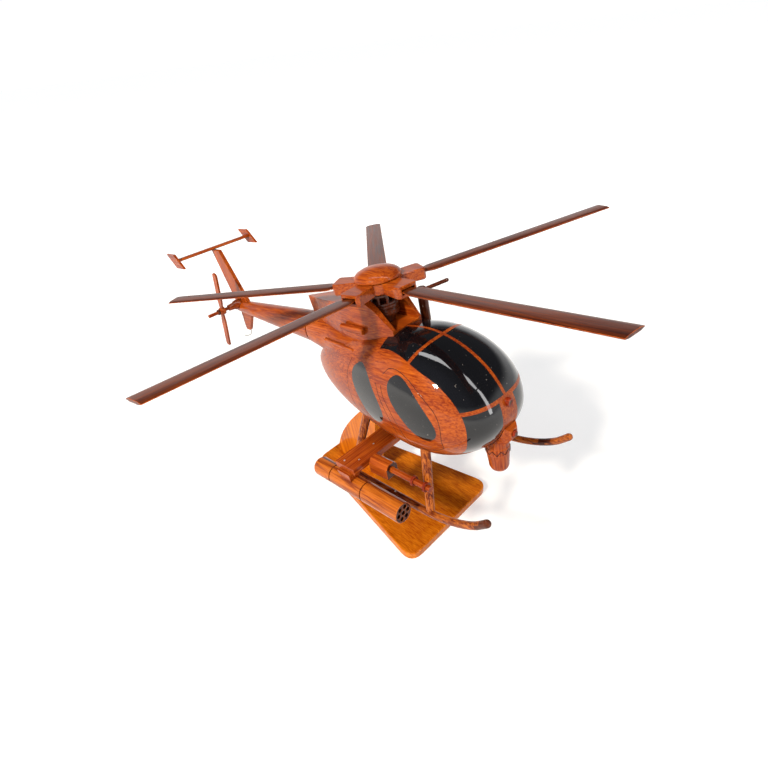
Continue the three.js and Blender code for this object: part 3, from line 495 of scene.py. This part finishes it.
def makePod():
    parts = [skinned("pod_egg", eggRings()), skinned("pod_shoulder", shoulderRings())]
    bm = bmesh.new()
    for part in parts:
        bm.from_mesh(part)
    joined = bpy.data.meshes.new("pod_joined")
    bm.to_mesh(joined)
    bm.free()
    holder = bpy.data.objects.new("pod_joined", joined)
    bpy.context.scene.collection.objects.link(holder)
    remesh = holder.modifiers.new("one_block", "REMESH")
    remesh.mode = "VOXEL"
    remesh.voxel_size = podShape["voxel"] * mm
    smooth = holder.modifiers.new("sanded", "SMOOTH")
    smooth.factor = 0.5
    smooth.iterations = podShape["blend"]
    evaluated = holder.evaluated_get(bpy.context.evaluated_depsgraph_get())
    mesh = bpy.data.meshes.new_from_object(evaluated)
    mesh.name = "fuselage_pod_finish"
    bpy.data.objects.remove(holder)
    piece = addPiece("fuselage_pod_finish", mesh, "airframe", craft, Vector((1, 0, 0)),
                     podFinish)
    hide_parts("fuselage_pod")
    return piece


pod = makePod()
podTree = BVHTree.FromPolygons([v.co.copy() for v in pod.data.vertices],
                               [tuple(p.vertices) for p in pod.data.polygons])
print("pod carved")

# Door outlines as (x, z) on the flank, the same on both sides.
doorLines = {"frontArc": [(30, -52), (35, -47.5), (42, -46.6), (51, -48.8), (59, -53), (66, -58.2),
                          (73, -64.2), (78, -70), (80.6, -77), (81, -85), (80.2, -93),
                          (79.5, -100)],
             "frontFoot": [(79.5, -100), (72, -104.5), (60, -107.5), (48, -108.5)],
             "pillarFront": [(28.6, -60), (31.5, -68), (38, -78.5), (44, -90), (47, -100),
                             (48, -108.5)],
             "pillarRear": [(22.6, -60), (26, -68), (32, -79.5), (37, -90), (40, -102)],
             "rearEdge": [(-14, -52), (-18, -62), (-18.5, -74), (-16, -88), (-9, -99)],
             "rearFoot": [(-9, -99), (4, -104.5), (20, -106.5), (39, -106)]}
scribe = {"r": 0.40, "proud": 0.16, "sides": 6, "castFrom": 0.09}


def onFlank(x, z, side):
    hit, normal, _, _ = podTree.ray_cast(Vector((x * mm, side * scribe["castFrom"], z * mm)),
                                         Vector((0, -side, 0)))
    return hit, normal


def sweep(name, points, radius, sides):
    rings = []
    for i, point in enumerate(points):
        ahead = (points[min(i + 1, len(points) - 1)] - points[max(i - 1, 0)]).normalized()
        side = ahead.cross(Vector((0, 0, 1)))
        if side.length < 0.2:
            side = ahead.cross(Vector((0, 1, 0)))
        side.normalize()
        lift = side.cross(ahead)
        rings.append([point + (side * math.cos(a) + lift * math.sin(a)) * radius
                      for a in (2 * math.pi * j / sides for j in range(sides))])
    return skinned(name, rings)


def smoothPath(points, steps=6):
    # Catmull-Rom through the points.
    ends = [points[0] * 2 - points[1], *points, points[-1] * 2 - points[-2]]
    path = []
    for i in range(1, len(ends) - 2):
        a, b, c, d = ends[i - 1:i + 3]
        for k in range(steps):
            t = k / steps
            path.append(0.5 * ((2 * b) + (c - a) * t + (2 * a - 5 * b + 4 * c - d) * t * t
                               + (3 * b - a - 3 * c + d) * t ** 3))
    return path + [points[-1]]


# Each door line is a dark strip of painted shade along an engraved groove.
for lineName, outline in doorLines.items():
    for sideName, side in (("starboard", -1), ("port", 1)):
        path = smoothPath([Vector((x, 0, z)) for x, z in outline])
        spots = []
        for point in path:
            hit, normal = onFlank(point.x, point.z, side)
            if hit is not None:
                spots.append(hit + normal * (scribe["proud"] - scribe["r"]) * mm)
        title = f"door_{lineName}_{sideName}"
        line = addPiece(title, sweep(title, spots, scribe["r"] * mm, scribe["sides"]),
                        "airframe", craft, finish=grooveFinish)
print("door lines scribed")

# Every other piece keeps its shape and gets rounded edges and its own finish.
edgeWidth = {"base_board": 0.9, "stand_upright": 0.8, "engine_cowling": 0.6, "rotor_hub": 0.5,
             "stores_plank": 0.45, "hub_dome_cap": 0.5, "chin_sensor_box": 0.5,
             "swashplate_drum": 0.25, "pitch_rod_cage": 0.15, "rotor_mast": 0.25,
             "tail_bumper_wire": 0.1, "stand_screw_1": 0.15, "stand_screw_2": 0.15}
finishOf = {"skid_tube_starboard": "speckled", "skid_tube_port": "speckled",
            "front_strut_starboard": "speckled", "front_strut_port": "speckled",
            "rear_strut_starboard": "speckled", "rear_strut_port": "speckled",
            "rocket_pod_starboard": "streaky", "rocket_pod_port": "streaky",
            "nose_lens": "lens", "chin_lens": "lens",
            **{f"barrel_collar_{end}_{hand}": "lens" for end in ("rear", "front")
               for hand in ("starboard", "port")},
            **{f"main_blade_{i}": "blade" for i in range(1, 6)}}
dressed = {}
for node in frame["nodes"]:
    if node == "fuselage_pod":
        continue
    along = None
    if node.startswith("main_blade"):
        along = toCraft.to_3x3() @ (middleOf(node) - Vector(mainJoint["pos_m"]))
    elif node.startswith("tail_rotor_blade"):
        along = toCraft.to_3x3() @ (middleOf(node) - Vector(tailJoint["pos_m"]))
    elif node in ("rotor_hub", "hub_dome_cap", "engine_cowling"):
        along = Vector((1, 0, 0))
    dressed[node] = dressNode(node, finishOf.get(node), edgeWidth.get(node, 0.3), along)
print("pieces lacquered")

def offAxis(node):
    # A measure of how far a point is from the fore-and-aft line through the node's middle.
    low, high = craftBox(node)
    middle = (low + high) / 2
    return lambda point: math.hypot(point.y - middle.y, point.z - middle.z)


# Painted shade: the rocket pods' bores and grooves go dark, and the front face around the bores goes dark too;
# sizes in millimetres.
tubeShade = {"mouth": 59.3, "deep": 18, "bore": 7.6, "groove": 8.05, "tail": -35.0}
# The skid tubes go dark between these x values, in millimetres.
skidDarkBand = {"starboard": (116, 200), "port": (96, 107)}
shadeAndDarkFaces = {"facing": 0.9, "gunFrom": 33, "pupil": 2.0, "pupilFacing": 0.3}
for sideName in ("starboard", "port"):
    away = offAxis(f"rocket_pod_{sideName}")
    start, stop = skidDarkBand[sideName]

    # The rocket pod faces that go dark: painted shade in the bores and grooves, and the front face around them.
    def inTube(middle, facing):
        if middle.x > tubeShade["mouth"] and facing.x > shadeAndDarkFaces["facing"]:
            return True
        if middle.x > tubeShade["mouth"] - tubeShade["deep"]:
            return away(middle) < tubeShade["bore"]
        return away(middle) < tubeShade["groove"] and middle.x > tubeShade["tail"]
    darken(dressed[f"rocket_pod_{sideName}"], inTube)
    darken(dressed[f"skid_tube_{sideName}"], lambda middle, facing: start < middle.x < stop)
    # The gun bodies' front faces go dark.
    darken(dressed[f"gun_body_{sideName}"],
           lambda middle, facing: middle.x > shadeAndDarkFaces["gunFrom"] and facing.x > shadeAndDarkFaces["facing"])
for node in ("nose_lens", "chin_lens"):
    away = offAxis(node)
    darken(dressed[node], lambda middle, facing: away(middle) < shadeAndDarkFaces["pupil"]
           and facing.x > shadeAndDarkFaces["pupilFacing"])
print("dark faces and painted shade set")

nail = {"r": 0.85, "dome": 0.35, "sunk": 0.05, "points": 14, "onSkid": (32, -12),
        "skidTop": -153.0, "onPlank": ((0.28, 4.5), (0.72, 12), (0.5, 33))}


def nailHead(name, place):
    rings = []
    for share in (0.0, 0.45, 0.75, 0.95, 1.0):
        r = nail["r"] * math.cos(share * math.pi / 2 * 0.93)
        z = nail["dome"] * math.sin(share * math.pi / 2) - nail["sunk"]
        rings.append([(place + Vector((r * math.cos(a), r * math.sin(a), z))) * mm
                      for a in (2 * math.pi * j / nail["points"]
                                for j in range(nail["points"]))])
    piece = addPiece(name, skinned(name, rings), "airframe", craft, finish=finishes["steel"][0])


plankLow, plankHigh = craftBox("stores_plank")
for sideName, side in (("starboard", -1), ("port", 1)):
    for i, (share, inset) in enumerate(nail["onPlank"]):
        x = plankLow.x + share * (plankHigh.x - plankLow.x)
        nailHead(f"plank_nail_{i + 1}_{sideName}",
                 Vector((x, side * (plankHigh.y - inset), plankHigh.z)))
    low, high = craftBox(f"skid_tube_{sideName}")
    for i, x in enumerate(nail["onSkid"]):
        nailHead(f"skid_nail_{i + 1}_{sideName}",
                 Vector((x, side * (abs(low.y) + abs(high.y)) / 2, nail["skidTop"])))

turretBand = {"x": 95, "r": 9.05, "z": -119, "swing": 1.9, "teeth": 9, "line": 0.3,
              "sides": 6, "fine": 6}
zigzag = []
for i in range(turretBand["teeth"] * 2 + 1):
    a = 2 * math.pi * i / (turretBand["teeth"] * 2)
    zigzag.append(Vector((turretBand["x"] + turretBand["r"] * math.cos(a),
                          turretBand["r"] * math.sin(a),
                          turretBand["z"] + turretBand["swing"] * (-1) ** i)) * mm)
fine = [zigzag[i].lerp(zigzag[i + 1], k / turretBand["fine"])
        for i in range(len(zigzag) - 1) for k in range(turretBand["fine"])]
for point in fine:  # each point back out to the band's own radius
    flat = Vector((point.x - turretBand["x"] * mm, point.y, 0))
    flat.length = turretBand["r"] * mm
    point.x, point.y = turretBand["x"] * mm + flat.x, flat.y
# The carved band is a dark strip of painted shade along the engraved zigzag.
band = addPiece("turret_carved_band",
                sweep("turret_carved_band", fine, turretBand["line"] * mm, turretBand["sides"]),
                "airframe", craft, finish=grooveFinish)
print("nails and carving done")

floorLook = {"size": 60.0, "colour": (0.60, 0.598, 0.59), "fleck": (0.62, 0.617, 0.61),
             "glow": (0.46, 0.86), "reach": (0.25, 1.3)}


def makeFloor():
    half = floorLook["size"] / 2
    mesh = bpy.data.meshes.new("floor")
    mesh.from_pydata([(-half, -half, 0), (half, -half, 0), (half, half, 0), (-half, half, 0)], [],
                     [(0, 1, 2, 3)])
    floor = bpy.data.objects.new("floor", mesh)
    bpy.context.scene.collection.objects.link(floor)
    material = bpy.data.materials.new("floor_paper")
    s = Sockets(material)
    shader = s.node("ShaderNodeBsdfPrincipled")
    tooth = s.cloud(s.node("ShaderNodeTexCoord").outputs["Object"], 60, 3)
    s.feed(shader.inputs["Base Color"], s.blendColour(s.step(tooth, 0.3, 0.7),
                                                     floorLook["colour"], floorLook["fleck"]))
    shader.inputs["Roughness"].default_value = 0.9
    shader.inputs["Specular IOR Level"].default_value = 0.1
    shader.inputs["Emission Color"].default_value = (1, 1, 1, 1)
    away = s.node("ShaderNodeVectorMath", operation="LENGTH")
    s.feed(away.inputs[0], s.node("ShaderNodeTexCoord").outputs["Object"])
    s.feed(shader.inputs["Emission Strength"],
           s.step(away.outputs["Value"], *floorLook["reach"], floorLook["glow"]))
    out = s.node("ShaderNodeOutputMaterial")
    s.feed(out.inputs["Surface"], shader.outputs[0])
    mesh.materials.append(material)


def makeLight(name, lamp):
    data = bpy.data.lights.new(name, "AREA")
    data.shape = lamp["shape"]
    data.size, data.size_y = lamp["size"]
    data.energy = lamp["power"]
    data.color = lamp["colour"]
    light = bpy.data.objects.new(name, data)
    light.location = lamp["place"]
    aim = (Vector(lamp["aim"]) - Vector(lamp["place"])).to_track_quat("-Z", "Y").to_matrix()
    light.rotation_euler = (aim @ Matrix.Rotation(math.radians(lamp["spin"]), 3, "Z")).to_euler()
    bpy.context.scene.collection.objects.link(light)


lamps = {"key": {"shape": "ELLIPSE", "place": (0.10, -2.28, 2.05), "aim": (0.0, 0.0, 0.15),
                 "spin": 0.0, "size": (0.34, 0.34), "power": 118.0, "colour": (1.0, 0.92, 0.80)},
         "left": {"shape": "RECTANGLE", "place": (-2.2, -1.4, 1.2), "aim": (0.0, 0.0, 0.15),
                  "spin": 0.0, "size": (0.8, 1.6), "power": 3.0, "colour": (1.0, 0.95, 0.88)},
         "top": {"shape": "RECTANGLE", "place": (0.55, 0.12, 2.15), "aim": (0.55, 0.12, 0.15),
                 "spin": 13.0, "size": (3.4, 0.26), "power": 24.0, "colour": (1.0, 1.0, 1.0)},
         "front": {"shape": "RECTANGLE", "place": (2.3, 0.56, 1.12), "aim": (0.05, 0.1, 1.12),
                   "spin": 0.0, "size": (0.26, 2.0), "power": 15.0, "colour": (1.0, 1.0, 1.0)}}
makeFloor()
for name, lamp in lamps.items():
    makeLight(name, lamp)

dome = {"overhead": (0.10, 0.105, 0.115), "nearSide": (0.19, 0.205, 0.245),
        "horizon": (1.02, 1.02, 1.02), "sideFrom": (-0.1, -0.5), "riseFrom": (0.15, 0.40)}
world = bpy.data.worlds.new("studio_sky")
worldNodes = Sockets(world)
heading = worldNodes.node("ShaderNodeSeparateXYZ")
worldNodes.feed(heading.inputs[0], worldNodes.node("ShaderNodeTexCoord").outputs["Generated"])
sky = worldNodes.node("ShaderNodeBackground")
high = worldNodes.blendColour(worldNodes.step(heading.outputs["Y"], *dome["sideFrom"]),
                              dome["overhead"], dome["nearSide"])
worldNodes.feed(sky.inputs["Color"], worldNodes.blendColour(
    worldNodes.step(heading.outputs["Z"], *dome["riseFrom"]), dome["horizon"], high))
worldNodes.feed(worldNodes.node("ShaderNodeOutputWorld").inputs["Surface"], sky.outputs[0])
bpy.context.scene.world = world
bpy.context.scene.view_settings.view_transform = "Standard"

view = {"place": (0.25942, -0.23978, 0.38474), "azimuth": 49.294, "elevation": 33.951,
        "roll": -7.056, "lens": 23.294, "sensor": 36, "shiftX": 0.01371, "shiftY": -0.01551}


def makeCamera():
    a, e, r = (math.radians(view[key]) for key in ("azimuth", "elevation", "roll"))
    back = Vector((math.sin(a) * math.cos(e), -math.cos(a) * math.cos(e), math.sin(e)))
    right = Vector((math.cos(a), math.sin(a), 0))
    up = back.cross(right)
    turnedRight = right * math.cos(r) + up * math.sin(r)
    turnedUp = up * math.cos(r) - right * math.sin(r)
    data = bpy.data.cameras.new("camera")
    data.lens = view["lens"]
    data.sensor_width = view["sensor"]
    data.shift_x, data.shift_y = view["shiftX"], view["shiftY"]
    data.clip_start = 0.01
    camera = bpy.data.objects.new("camera", data)
    bpy.context.scene.collection.objects.link(camera)
    matrix = Matrix((turnedRight, turnedUp, back)).transposed().to_4x4()
    matrix.translation = Vector(view["place"])
    camera.matrix_world = matrix
    bpy.context.scene.camera = camera


makeCamera()
print("studio set")
